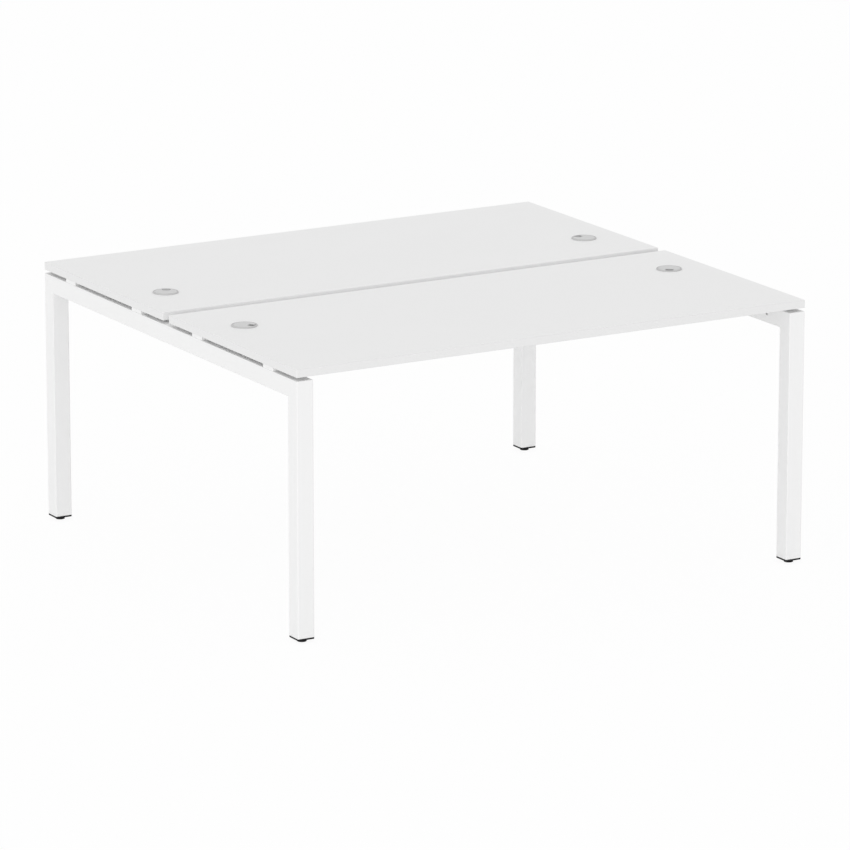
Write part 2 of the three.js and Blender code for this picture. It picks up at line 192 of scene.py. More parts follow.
class BoltSizes(PropertyGroup):
    """Sizes of the beam bolts"""

    flats: length("Flats", "Width across the flats of the head", 13.0)
    face: length("Face", "Diameter of the flat face on the head", 12.2)
    flange: length("Flange", "Diameter of the flange under the head", 17.4)
    flange_height: length("Flange height", "Height of the flange at the head", 1.5)
    flange_rim: length("Flange rim", "Height of the flange at its rim", 0.8)
    shank: length("Shank", "Diameter of the threaded shank", 7.8)
    tip: length("Tip", "Length of the bevel at the end of the shank", 1.0)
    thread_pitch: length("Thread pitch", "Pitch of the bolt's thread", 1.25)
    thread_depth: length("Thread depth", "Depth of the bolt's thread", 0.7)


class ScrewSizes(PropertyGroup):
    """Sizes of the top screws"""

    shank: length("Shank", "Diameter of the threaded shank", 5.0)
    point: length("Point", "Length of the tapered point", 4.0)
    tip: length("Tip", "Diameter of the blunt tip", 0.4)
    thread_pitch: length("Thread pitch", "Pitch of the screw's thread", 2.5)
    thread_depth: length("Thread depth", "Depth of the screw's thread", 0.9)
    head_round: length("Head round", "Radius of the edge of the pan head", 1.8)
    recess_length: length("Recess length", "Length of the arms of the cross recess, end to end", 4.4)
    recess_width: length("Recess width", "Width of the arms of the cross recess", 1.0)
    recess_depth: length("Recess depth", "Depth of the cross recess", 1.8)


class FootSizes(PropertyGroup):
    """Sizes of the levelling feet"""

    plug_round: length("Plug round", "Edge radius of the plug's flange", 0.3)
    plug_flange: length("Plug flange", "Height of the plug's flange below the tube", 5.0)
    plug_play: length("Plug play", "Gap between the plug and the bore of the tube", 0.3)
    stud_bore: length("Stud bore", "Diameter of the plug's bore and of the pad's socket", 8.6)
    thread_pitch: length("Thread pitch", "Pitch of the stud's thread", 1.25)
    thread_depth: length("Thread depth", "Depth of the stud's thread", 0.7)
    stud_bevel: length("Stud bevel", "Bevel at the ends of the stud", 1.0)
    pad_round: length("Pad round", "Edge radius of the pad", 0.8)
    pad_rim: length("Pad rim", "Height of the pad's rim", 4.0)
    pad_floor: length("Pad floor", "Floor under the pad's socket", 3.0)
    neck_flats: length("Neck flats", "Width across the flats of the pad's neck", 15.0)
    grip_depth: length("Grip depth", "Depth of the flutes in the pad's rim", 0.5)
    grip_count: IntProperty(name="Grip count", description="Flutes in the pad's rim", default=24, min=6)


class GrommetSizes(PropertyGroup):
    """Sizes of the cable grommets"""

    hole: length("Hole", "Diameter of the hole in the top", 60.0)
    sleeve_play: length("Sleeve play", "Gap between the liner's sleeve and the hole", 0.3)
    sleeve_wall: length("Sleeve wall", "Wall of the liner's sleeve", 2.0)
    seat: length("Seat", "Height of the cap's seat above the top", 1.4)
    run_play: length("Running play", "Gap round the cap", 0.3)
    cap_ledge: length("Cap ledge", "Width of the ledge under the cap", 3.3)
    flange_round: length("Flange round", "Radius of the flange's outer edge", 2.2)
    edge_round: length("Edge round", "Radius of the other edges of the liner and the cap", 0.4)
    skirt_wall: length("Skirt wall", "Wall of the cap's skirt", 2.0)
    skirt_depth: length("Skirt depth", "Depth of the cap's skirt below its seat", 6.0)
    skirt_opening: number(
        "Skirt opening", "Angle of the gap in the skirt, as a share of the notch's", 1.16, min=1.0,
        subtype="FACTOR"
    )
    notch_start: length("Notch start", "From the middle of the cap to its notch", 11.0)
    notch_inner_width: length("Notch inner width", "Width of the notch at its inner end", 20.0)
    notch_rim_width: length("Notch rim width", "Width of the notch at the rim", 26.0)
    notch_corner: length("Notch corner", "Radius of the notch's inner corners", 5.0)
    notch_rim_corner: length("Notch rim corner", "Radius of the notch's corners at the rim", 1.2)


class FinishColours(PropertyGroup):
    """Colours of the finishes"""

    melamine: colour("Melamine", "Faces of the tops", 0.86, 0.86, 0.86)
    edging: colour("Edging", "Band round the tops", 0.77, 0.77, 0.77)
    powder: colour("Powder coat", "Coat of the steel frame", 0.84, 0.84, 0.84)
    cap: colour("Caps", "Plastic of the grommet caps", 0.62, 0.62, 0.62)
    liner: colour("Liners", "Plastic of the grommet liners", 0.50, 0.50, 0.50)
    foot: colour("Feet", "Plastic of the leg plugs and the pads", 0.007, 0.007, 0.008)
    zinc: colour("Zinc", "Plating of the bolts, screws and studs", 0.62, 0.63, 0.65)


class StudioSettings(PropertyGroup):
    """Camera and light of the studio"""

    camera_place: position("Camera place", "Where the camera stands", -8.074, -13.926, 4.476)
    camera_heading: bearing("Camera heading", "Direction of view about +Z, from +X", 59.841)
    camera_dip: bearing("Camera dip", "Angle of view below the level", 14.430)
    camera_lens: number(
        "Camera lens", "Focal length on a 36 mm frame", 250.55, subtype="DISTANCE_CAMERA"
    )
    sky_level: number(
        "Sky level", "Light from all round, where 1 shows a colour as written", 0.90, min=0.0
    )
    lamp_power: number("Lamp power", "Power of the soft lamp", 5900.0, min=0.0, unit="POWER")
    lamp_place: position("Lamp place", "Middle of the soft lamp", -32.5, -32.5, 5.6)
    lamp_width: length("Lamp width", "Width of the soft lamp", 27500.0)
    lamp_height: length("Lamp height", "Height of the soft lamp", 11000.0)
    floor_colour: colour("Floor", "Colour of the floor", 0.92, 0.92, 0.92)
    floor_glow: number(
        "Floor glow", "Share of plain white in the floor as the camera sees it", 0.94, min=0.0, max=1.0,
        subtype="FACTOR"
    )
    floor_size: length("Floor size", "Width of the floor", 120000.0)


class DeskSettings(PropertyGroup):
    """Everything that a user can set"""

    tops: PointerProperty(type=TopSizes)
    frames: PointerProperty(type=FrameSizes)
    bolts: PointerProperty(type=BoltSizes)
    screws: PointerProperty(type=ScrewSizes)
    feet: PointerProperty(type=FootSizes)
    grommets: PointerProperty(type=GrommetSizes)
    colours: PointerProperty(type=FinishColours)
    studio: PointerProperty(type=StudioSettings)


# Finishes


class Socket:
    """A node's output, for use in arithmetic: each operation adds a Math node."""

    def __init__(self, nodes, output):
        self.nodes = nodes
        self.output = output

    def maths(self, operation, *terms):
        return self.nodes.add("ShaderNodeMath", {"operation": operation}, dict(enumerate(terms)))

    def __add__(self, other):
        return self.maths("ADD", self, other)

    def __mul__(self, other):
        return self.maths("MULTIPLY", self, other)

    __radd__ = __add__
    __rmul__ = __mul__


class Nodes:
    """The nodes of a material or a world."""

    def __init__(self, owner):
        owner.use_nodes = True
        self.tree = owner.node_tree
        self.tree.nodes.clear()

    def add(self, kind, settings=None, sockets=None, output=0):
        """Add a node: its settings first, then the values or links of its sockets."""
        node = self.tree.nodes.new(kind)
        for name, setting in (settings or {}).items():
            setattr(node, name, setting)
        for name, value in (sockets or {}).items():
            if isinstance(value, Socket):
                self.tree.links.new(value.output, node.inputs[name])
            else:
                node.inputs[name].default_value = value
        return Socket(self, node.outputs[output]) if node.outputs else None

    def noise(self, scale, detail=2.0, stretch=(1.0, 1.0, 1.0)):
        """Soft noise on the piece itself, with a scale in patches a metre."""
        place = self.add("ShaderNodeTexCoord", output="Object")
        spread = self.add("ShaderNodeVectorMath", {"operation": "MULTIPLY"}, {0: place, 1: stretch})
        return self.add("ShaderNodeTexNoise", None, {"Vector": spread, "Scale": scale, "Detail": detail})

    def tone(self, share, base, low, high):
        """A colour between two shares of its level; a Mix node takes colours at sockets 6 and 7."""
        sockets = {0: share, 6: shade(base, low), 7: shade(base, high)}
        return self.add("ShaderNodeMix", {"data_type": "RGBA"}, sockets, output=2)

    def relief(self, height, depth):
        """A surface normal from a height of 0 to 1 and its depth in metres."""
        return self.add("ShaderNodeBump", None, {"Height": height, "Strength": 1.0, "Distance": depth})

    def surface(self, sockets):
        shader = self.add("ShaderNodeBsdfPrincipled", None, sockets)
        self.add("ShaderNodeOutputMaterial", None, {"Surface": shader})


def shade(base, level):
    """A colour at a share of its level, with full opacity."""
    return (*(level * channel for channel in base), 1.0)


def paint_melamine(nodes, base):
    """Matt melamine with a fine pearl texture and a faint drift in tone."""
    drift = nodes.noise(3.5, 3.0)
    pearl = nodes.noise(900.0)
    grit = nodes.noise(2600.0)
    handling = nodes.noise(11.0, 4.0)
    nodes.surface({
        "Base Color": nodes.tone(drift, base, 0.985, 1.0),
        "Roughness": 0.42 + 0.12 * handling + 0.08 * pearl,
        "Normal": nodes.relief(pearl + 0.4 * grit, 45 * MICRON),
        "IOR": 1.46,
    })


def paint_edging(nodes, base):
    """Extruded plastic edging: fine lines run along the band."""
    lines = nodes.noise(1.0, 3.0, (2.0, 2.0, 900.0))
    drift = nodes.noise(6.0)
    nodes.surface({
        "Base Color": nodes.tone(drift, base, 0.98, 1.0),
        "Roughness": 0.38 + 0.14 * lines,
        "Normal": nodes.relief(lines, 20 * MICRON),
        "IOR": 1.46,
    })


def paint_powder(nodes, base):
    """Powder coat with a fine orange peel."""
    peel = nodes.noise(430.0)
    grit = nodes.noise(2000.0)
    drift = nodes.noise(4.0, 3.0)
    nodes.surface({
        "Base Color": nodes.tone(drift, base, 0.985, 1.0),
        "Roughness": 0.48 + 0.12 * peel + 0.06 * grit,
        "Normal": nodes.relief(peel + 0.25 * grit, 80 * MICRON),
        "IOR": 1.48,
    })


def paint_moulding(nodes, base):
    """Moulded plastic with a spark-eroded grain and faint flow marks."""
    grain = nodes.noise(1500.0, 3.0)
    flow = nodes.noise(24.0, 3.0)
    nodes.surface({
        "Base Color": nodes.tone(flow, base, 0.97, 1.03),
        "Roughness": 0.42 + 0.18 * grain,
        "Normal": nodes.relief(grain, 35 * MICRON),
        "IOR": 1.48,
    })


def paint_foot(nodes, base):
    """Black moulded plastic, a little dusty."""
    grain = nodes.noise(1300.0, 3.0)
    dust = nodes.noise(70.0, 5.0)
    nodes.surface({
        "Base Color": nodes.tone(dust, base, 0.7, 1.5),
        "Roughness": 0.50 + 0.16 * grain + 0.10 * dust,
        "Normal": nodes.relief(grain, 40 * MICRON),
        "IOR": 1.45,
        "Specular IOR Level": 0.25,
    })


def paint_zinc(nodes, base):
    """Bright zinc plating, with cloudy patches."""
    cloud = nodes.noise(120.0, 4.0)
    scratch = nodes.noise(60.0, 3.0, (1.0, 1.0, 24.0))
    nodes.surface({
        "Base Color": nodes.tone(cloud, base, 0.86, 1.08),
        "Metallic": 1.0,
        "Roughness": 0.22 + 0.20 * cloud + 0.10 * scratch,
        "Normal": nodes.relief(scratch, 8 * MICRON),
    })


# What paints each of the record's material slots, and the colour that it starts from
PAINTS = {
    "white_melamine": (paint_melamine, "melamine"),
    "white_edging": (paint_edging, "edging"),
    "white_powder_coat": (paint_powder, "powder"),
    "grey_plastic": (paint_moulding, "cap"),
    "mid_grey_plastic": (paint_moulding, "liner"),
    "black_plastic": (paint_foot, "foot"),
    "zinc_steel": (paint_zinc, "zinc"),
}


def finish(slot):
    """The material of a slot, made when it is first asked for."""
    name = f"{slot}_finish"
    material = bpy.data.materials.get(name)
    if material is None:
        material = bpy.data.materials.new(name)
        paint, base = PAINTS[slot]
        paint(Nodes(material), getattr(bpy.context.scene.desk.colours, base))
    return material


# Outlines and loops of points


def rectangle(width, height):
    """Corners of a rectangle about the origin, counter-clockwise."""
    x = width / 2
    y = height / 2
    return [(x, y), (-x, y), (-x, -y), (x, -y)]


def arc(radius, start, end, steps):
    """Points of an arc about the origin, from one angle to another."""
    angles = [start + (end - start) * step / steps for step in range(steps + 1)]
    return [Vector((radius * math.cos(angle), radius * math.sin(angle))) for angle in angles]


def rounded(corners, radii, steps=CORNER_STEPS):
    """A closed outline whose corners are rounded, each by its own radius or all alike."""
    points = []
    for index, corner in enumerate(corners):
        radius = radii[index] if isinstance(radii, list) else radii
        here = Vector(corner)
        if radius == 0:
            points.append(here)
            continue
        back = (Vector(corners[index - 1]) - here).normalized() * radius
        ahead = (Vector(corners[(index + 1) % len(corners)]) - here).normalized() * radius
        for step in range(steps + 1):
            share = step / steps
            points.append(here + back * (1 - share) ** 2 + ahead * share ** 2)
    return points


def drawn_in(outline, distance):
    """A counter-clockwise outline with each point moved inwards."""
    moved = []
    for index, point in enumerate(outline):
        behind = (point - outline[index - 1]).normalized()
        ahead = (outline[(index + 1) % len(outline)] - point).normalized()
        heading = (behind + ahead).normalized()
        reach = distance / heading.dot(ahead)
        moved.append(point + Vector((-heading.y, heading.x)) * reach)
    return moved


def raised(outline, *levels):
    """Loops of an outline at some levels."""
    return [[(*point, level) for point in outline] for level in levels]


def slab(outline, low, high, edge):
    """Loops of a plate with round edges, between two levels."""
    angles = [math.pi / 2 * step / EDGE_STEPS for step in range(EDGE_STEPS + 1)]
    lower = [(edge * (1 - math.sin(angle)), low + edge * (1 - math.cos(angle))) for angle in angles]
    upper = [(inset, low + high - level) for inset, level in reversed(lower)]
    return [loop for inset, level in lower + upper for loop in raised(drawn_in(outline, inset), level)]


def turned(profile, steps):
    """Loops of a form turned about +Z; a radius or a level may be a function of the angle."""
    def at(quantity, angle):
        return quantity(angle) if callable(quantity) else quantity

    loops = []
    for radius, level in profile:
        loop = []
        for step in range(steps):
            angle = 2 * math.pi * step / steps
            reach = at(radius, angle)
            loop.append((reach * math.cos(angle), reach * math.sin(angle), at(level, angle)))
        loops.append(loop)
    return loops


def hexagon(flats):
    """The radius of a hexagon as a function of the angle."""
    sector = math.pi / 3
    return lambda angle: flats / 2 / math.cos((angle + sector / 2) % sector - sector / 2)


def threaded(radius, depth, pitch, low, high, low_end, high_end):
    """Profile of a thread between two levels; an end is its radius and the length of its taper."""
    def limit(level):
        ends = ((level - low, *low_end), (high - level, *high_end))
        return min(rim + (radius - rim) * away / taper for away, rim, taper in ends)

    def ridge(level):
        def reach(angle):
            phase = (level / pitch - angle / (2 * math.pi)) % 1
            return min(limit(level), radius - depth * abs(2 * phase - 1))

        return reach

    count = round((high - low) / pitch * THREAD_PITCH_STEPS)
    levels = [low + (high - low) * step / count for step in range(count + 1)]
    return [(ridge(level), level) for level in levels]


# Shapes


def loft(shape, loops, place=None, closed=False, capped=True):
    """Bands of faces between neighbouring loops; the ends are capped, or joined if closed."""
    place = place or Matrix.Identity(4)
    rings = [[shape.verts.new(place @ Vector(point)) for point in loop] for loop in loops]
    pairs = list(zip(rings, rings[1:]))
    if closed:
        pairs.append((rings[-1], rings[0]))
    elif capped:
        shape.faces.new(reversed(rings[0]))
        shape.faces.new(rings[-1])
    for low, high in pairs:
        for i in range(len(low)):
            shape.faces.new((low[i - 1], low[i], high[i], high[i - 1]))
    return rings


def lofted(loops, place=None, closed=False):
    """A new shape with the faces of one loft."""
    shape = bmesh.new()
    loft(shape, loops, place, closed)
    return shape


def drills(diameter, low, high, places):
    """A new shape with a straight round cutter at each place, from one of its levels to another."""
    shape = bmesh.new()
    for place in places:
        loft(shape, turned([(diameter / 2, low), (diameter / 2, high)], SMALL_ROUND_STEPS), place)
    return shape


def drilled_plate(outlines, low, high):
    """A flat plate between two levels: the first outline is its rim and the others are holes."""
    shape = bmesh.new()
    rims = ([], [])
    for outline in outlines:
        for rim, ring in zip(rims, loft(shape, raised(outline, low, high), capped=False)):
            rim.extend(shape.edges.get((ring[i - 1], ring[i])) for i in range(len(ring)))
    for rim in rims:
        bmesh.ops.triangle_fill(shape, use_beauty=True, edges=rim)
    return shape


def weld_bead(shape, start, end, toes, leg, ripple):
    """A rippled fillet weld along an inside corner; the toes point along its two walls."""
    run = Vector(end) - Vector(start)
    first, second = (Vector(toe) for toe in toes)
    count = round(run.length / ripple * BEAD_RIPPLE_STEPS)
    loops = []
    for station in range(count + 1):
        root = Vector(start) + run * station / count
        loop = [root - (first + second) * leg * BEAD_ROOT]
        for step in range(BEAD_ARC_STEPS + 1):
            angle = math.pi / 2 * step / BEAD_ARC_STEPS
            bulge = math.sin(2 * angle)
            wave = abs(math.sin(math.pi * (station / BEAD_RIPPLE_STEPS + BEAD_BOW * bulge)))
            away = min(station, count - station) / BEAD_RIPPLE_STEPS
            taper = min(1, BEAD_END + (1 - BEAD_END) * away)
            reach = leg * taper * (1 - BEAD_HOLLOW * bulge) * (1 + BEAD_RIPPLE * wave)
            loop.append(root + (first * math.cos(angle) + second * math.sin(angle)) * reach)
        loops.append(loop)
    loft(shape, loops)


def new_object(name, shape, material):
    """An object of a shape, which is used up."""
    bmesh.ops.recalc_face_normals(shape, faces=shape.faces)
    mesh = bpy.data.meshes.new(name)
    shape.to_mesh(mesh)
    shape.free()
    mesh.materials.append(material)
    piece = bpy.data.objects.new(name, mesh)
    bpy.context.scene.collection.objects.link(piece)
    return piece


def combine(piece, shape, operation):
    """Cut a shape out of a piece, or join it to the piece."""
    tool = new_object("tool", shape, piece.data.materials[0])
    step = piece.modifiers.new("Combine", "BOOLEAN")
    step.operation = operation
    step.solver = "EXACT"
    step.object = tool
    graph = bpy.context.evaluated_depsgraph_get()
    before = piece.data
    piece.data = bpy.data.meshes.new_from_object(piece.evaluated_get(graph))
    piece.modifiers.remove(step)
    spare = tool.data
    bpy.data.objects.remove(tool)
    bpy.data.meshes.remove(spare)
    bpy.data.meshes.remove(before)
    piece.data.name = piece.name


def add_piece(name, shape, slot, body, *nodes, cut=None, join=None):
    """Make an object of a shape: it rides on a body and stands for the nodes that it replaces."""
    piece = new_object(name, shape, finish(slot))
    if cut:
        combine(piece, cut, "DIFFERENCE")
    if join:
        combine(piece, join, "UNION")
    piece.data.shade_smooth()
    piece.data.set_sharp_from_angle(angle=SHARP_ANGLE)
    normals = piece.modifiers.new("Weighted normals", "WEIGHTED_NORMAL")
    normals.keep_sharp = True
    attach(piece, body)
    if nodes:
        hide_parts(*nodes)
    return piece


def middle(node):
    """The middle of a node's box."""
    low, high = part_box(node)
    return (low + high) / 2


def upright(node):
    """The place on the floor that is under the middle of a node."""
    return Matrix.Translation((*middle(node).to_2d(), 0))


def along(node):
    """The line along +X through the middle of a node, as a place for a form drawn upright."""
    centre = middle(node)
    return Matrix.Translation((0, centre.y, centre.z)) @ ALONG_X


def lying(direction):
    """Turns a form drawn upright so that it points along +X or -X."""
    return Matrix.Rotation(0 if direction > 0 else math.pi, 4, "Z") @ ALONG_X


# Pieces


class DESK_OT_studio(Operator):
    """Set up the camera, the floor, the sky and the lamp"""

    bl_idname = "desk.studio"
    bl_label = "Studio"

    def execute(self, context):
        studio = context.scene.desk.studio
        context.scene.view_settings.view_transform = "Standard"
        self.add_camera(context.scene, studio)
        self.add_floor(studio)
        self.add_sky(context.scene, studio)
        self.add_lamp(context.scene, studio)
        return {"FINISHED"}

    def add_camera(self, scene, studio):
        lens = bpy.data.cameras.new("camera")
        lens.sensor_width = SENSOR_WIDTH
        lens.lens = studio.camera_lens
        lens.clip_end = studio.floor_size
        camera = bpy.data.objects.new("camera", lens)
        camera.location = studio.camera_place
        level = math.cos(studio.camera_dip)
        view = Vector((
            level * math.cos(studio.camera_heading),
            level * math.sin(studio.camera_heading),
            -math.sin(studio.camera_dip),
        ))
        camera.rotation_euler = view.to_track_quat("-Z", "Y").to_euler()
        scene.collection.objects.link(camera)
        scene.camera = camera

    def seen(self, nodes):
        """1 for rays that show the background: from the camera, off gloss or through glass."""
        path = "ShaderNodeLightPath"
        camera = nodes.add(path, output="Is Camera Ray")
        gloss = nodes.add(path, output="Is Glossy Ray")
        glass = nodes.add(path, output="Is Transmission Ray")
        return camera + gloss + glass

    def add_floor(self, studio):
        material = bpy.data.materials.new("studio_floor")
        nodes = Nodes(material)
        matt = nodes.add("ShaderNodeBsdfDiffuse", None, {"Color": shade(studio.floor_colour, 1.0)})
        white = nodes.add("ShaderNodeEmission", None, {"Color": WHITE, "Strength": 1.0})
        share = self.seen(nodes) * studio.floor_glow
        mixed = nodes.add("ShaderNodeMixShader", None, {0: share, 1: matt, 2: white})
        nodes.add("ShaderNodeOutputMaterial", None, {"Surface": mixed})
        shape = bmesh.new()
        corners = rectangle(studio.floor_size, studio.floor_size)
        shape.faces.new([shape.verts.new((*corner, CAD_BOX[0].z)) for corner in corners])
        new_object("studio_floor", shape, material)

    def add_sky(self, scene, studio):
        scene.world = bpy.data.worlds.new("studio_sky")
        nodes = Nodes(scene.world)
        light = nodes.add("ShaderNodeBackground", None, {"Color": WHITE, "Strength": studio.sky_level})
        backdrop = nodes.add("ShaderNodeBackground", None, {"Color": WHITE, "Strength": 1.0})
        mixed = nodes.add("ShaderNodeMixShader", None, {0: self.seen(nodes), 1: light, 2: backdrop})
        nodes.add("ShaderNodeOutputWorld", None, {"Surface": mixed})

    def add_lamp(self, scene, studio):
        lamp = bpy.data.lights.new("soft_lamp", "AREA")
        lamp.shape = "RECTANGLE"
        lamp.size = studio.lamp_width
        lamp.size_y = studio.lamp_height
        lamp.energy = studio.lamp_power
        holder = bpy.data.objects.new("soft_lamp", lamp)
        holder.location = studio.lamp_place
        aim = (CAD_BOX[0] + CAD_BOX[1]) / 2 - Vector(studio.lamp_place)
        holder.rotation_euler = aim.to_track_quat("-Z", "Y").to_euler()
        scene.collection.objects.link(holder)


class DESK_OT_tops(Operator):
    """Make the two boards and the edging round them"""

    bl_idname = "desk.tops"
    bl_label = "Tops"

    def execute(self, context):
        for row in ROWS:
            self.add_board(row, context.scene.desk)
            self.add_band(row, context.scene.desk.tops)
        return {"FINISHED"}

    def add_board(self, row, desk):
        node = f"board_{row}"
        low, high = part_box(node)
        centre = middle(node).to_2d()
        corners = [centre + Vector(corner) for corner in rectangle(high.x - low.x, high.y - low.y)]
        outlines = [rounded(corners, desk.tops.board_corner)]
        ring = arc(desk.grommets.hole / 2, 0, 2 * math.pi, LARGE_ROUND_STEPS)[:-1]
        for side in SIDES:
            hole = middle(f"grommet_liner_{row}_{side}").to_2d()
            outlines.append([hole + point for point in ring])
        shape = drilled_plate(outlines, low.z, high.z)
        screws = [f"top_screw_{row}_{side}_{place}" for side in SIDES for place in PLACES]
        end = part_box(screws[0])[1].z + desk.tops.pilot_play
        places = [upright(screw) for screw in screws]
        pilots = drills(desk.frames.screw_hole, low.z - CUT_MARGIN, end, places)
        add_piece(f"top_{row}", shape, "white_melamine", "frame", node, cut=pilots)

    def add_band(self, row, tops):
        node = f"edge_band_{row}"
        low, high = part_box(node)
        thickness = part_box(f"board_{row}")[0].x - low.x
        section = [(0, low.z), (0, high.z), (-thickness, high.z), (-thickness, low.z)]
        loops = []
        for inset, level in rounded(section, [tops.band_round, tops.band_round, 0, 0]):
            corners = rectangle(high.x - low.x + 2 * inset, high.y - low.y + 2 * inset)
            loops += raised(rounded(corners, tops.band_corner + inset), level)
        shape = lofted(loops, upright(node), closed=True)
        add_piece(f"edging_{row}", shape, "white_edging", "frame", node)


class DESK_OT_end_frames(Operator):
    """Make the welded end frames of square tube, with their holes and weld beads"""

    bl_idname = "desk.end_frames"
    bl_label = "End frames"

    def execute(self, context):
        frames = context.scene.desk.frames
        for side, outward in SIDES.items():
            nodes = [f"crossbar_{side}", *(f"leg_{row}_{side}" for row in ROWS)]
            holes = self.holes(side, -outward, frames)
            shape = self.tube(side, frames)
            add_piece(f"end_frame_{side}", shape, "white_powder_coat", "frame", *nodes, cut=holes)
            add_piece(f"corner_welds_{side}", self.welds(side, frames), "white_powder_coat", "frame")
        return {"FINISHED"}

    def tube(self, side, frames):
        """The tube from the front foot, over both mitres, to the rear foot."""
        shape = bmesh.new()
        skin = self.path(side, 0, frames.tube_corner)
        bore = self.path(side, frames.tube_wall, frames.bore_corner)
        rings = loft(shape, skin + bore[::-1], closed=True)
        level = middle(f"crossbar_{side}").z
        mitres = {*rings[1], *rings[2]}
        edges = []
        for edge in shape.edges:
            above = all(vert in mitres and vert.co.z > level for vert in edge.verts)
            if above and edge.calc_face_angle(0) > SHARP_ANGLE:
                edges.append(edge)
        bmesh.ops.bevel(
            shape, geom=edges, offset=frames.mitre_round, segments=MITRE_STEPS, profile=ROUND_PROFILE,
            affect="EDGES"
        )
        return shape

    def path(self, side, inset, corner):
        """Loops of the tube's skin or bore: two feet and two mitres."""
        low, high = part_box(f"leg_front_{side}")
        width = high.x - low.x - 2 * inset
        section = rounded(rectangle(width, width), corner)
        front = middle(f"leg_front_{side}")
        rear = middle(f"leg_rear_{side}")
        bar = middle(f"crossbar_{side}")
        return [
            [(front.x + across, front.y - out, low.z) for across, out in section],
            [(front.x + across, front.y - out, bar.z + out) for across, out in section],
            [(rear.x + across, rear.y + out, bar.z + out) for across, out in section],
            [(rear.x + across, rear.y + out, low.z) for across, out in section],
        ]

    def holes(self, side, inward, frames):
        """Cutters for the holes of the screws and bolts, and for the accessory holes."""
        cutters = bmesh.new()
        low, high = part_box(f"crossbar_{side}")
        bar = middle(f"crossbar_{side}")
        face = high.x if inward > 0 else low.x
        upwards = Matrix.Identity(4)
        downwards = Matrix.Rotation(math.pi, 4, "X")
        sideways = lying(inward)

        def add_hole(diameter, spot, turn):
            loft(cutters, self.hole(diameter, frames), Matrix.Translation(spot) @ turn)

        for row, outward in ROWS.items():
            for place in PLACES:
                screw = middle(f"top_screw_{row}_{side}_{place}")
                add_hole(frames.access_hole, (bar.x, screw.y, low.z), downwards)
                add_hole(frames.screw_hole, (bar.x, screw.y, high.z), upwards)
                bolt = middle(f"beam_bolt_{row}_{side}_{place}")
                add_hole(frames.bolt_hole, (face, bolt.y, bar.z), sideways)
            y = outward * (high.y - frames.accessory_inset)
            add_hole(frames.accessory_hole, (face, y, bar.z), sideways)
        return cutters

    def hole(self, diameter, frames):
        """A round cutter from inside the tube's wall to just outside it, with a flared rim."""
        bore = diameter / 2
        flare = frames.hole_flare
        rim = [(bore + flare + x, y - flare) for x, y in arc(flare, math.pi, math.pi / 2, EDGE_STEPS)]
        outside = bore + flare + CUT_MARGIN
        profile = [(bore, -2 * frames.tube_wall), *rim, (outside, CUT_MARGIN)]
        return turned(profile, SMALL_ROUND_STEPS)

    def welds(self, side, frames):
        """A bead inside each mitre."""
        shape = bmesh.new()
        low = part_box(f"crossbar_{side}")[0].z
        for row, outward in ROWS.items():
            leg_low, leg_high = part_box(f"leg_{row}_{side}")
            y = leg_high.y if outward < 0 else leg_low.y
            start = (leg_low.x + frames.tube_corner, y, low)
            end = (leg_high.x - frames.tube_corner, y, low)
            toes = ((0, -outward, 0), (0, 0, -1))
            weld_bead(shape, start, end, toes, frames.weld_leg, frames.weld_ripple)
        return shape


class DESK_OT_spacers(Operator):
    """Make the spacers between the crossbars and the tops"""

    bl_idname = "desk.spacers"
    bl_label = "Spacers"

    def execute(self, context):
        frames = context.scene.desk.frames
        for corner in CORNERS:
            for place in PLACES:
                node = f"spacer_{corner}_{place}"
                low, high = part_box(node)
                outline = rounded(rectangle(high.x - low.x, high.y - low.y), frames.spacer_corner)
                spot = upright(node)
                shape = lofted(slab(outline, low.z, high.z, frames.spacer_round), spot)
                hole = drills(frames.screw_hole, low.z - CUT_MARGIN, high.z + CUT_MARGIN, [spot])
                name = f"spacer_block_{corner}_{place}"
                add_piece(name, shape, "white_powder_coat", "frame", node, cut=hole)
        return {"FINISHED"}


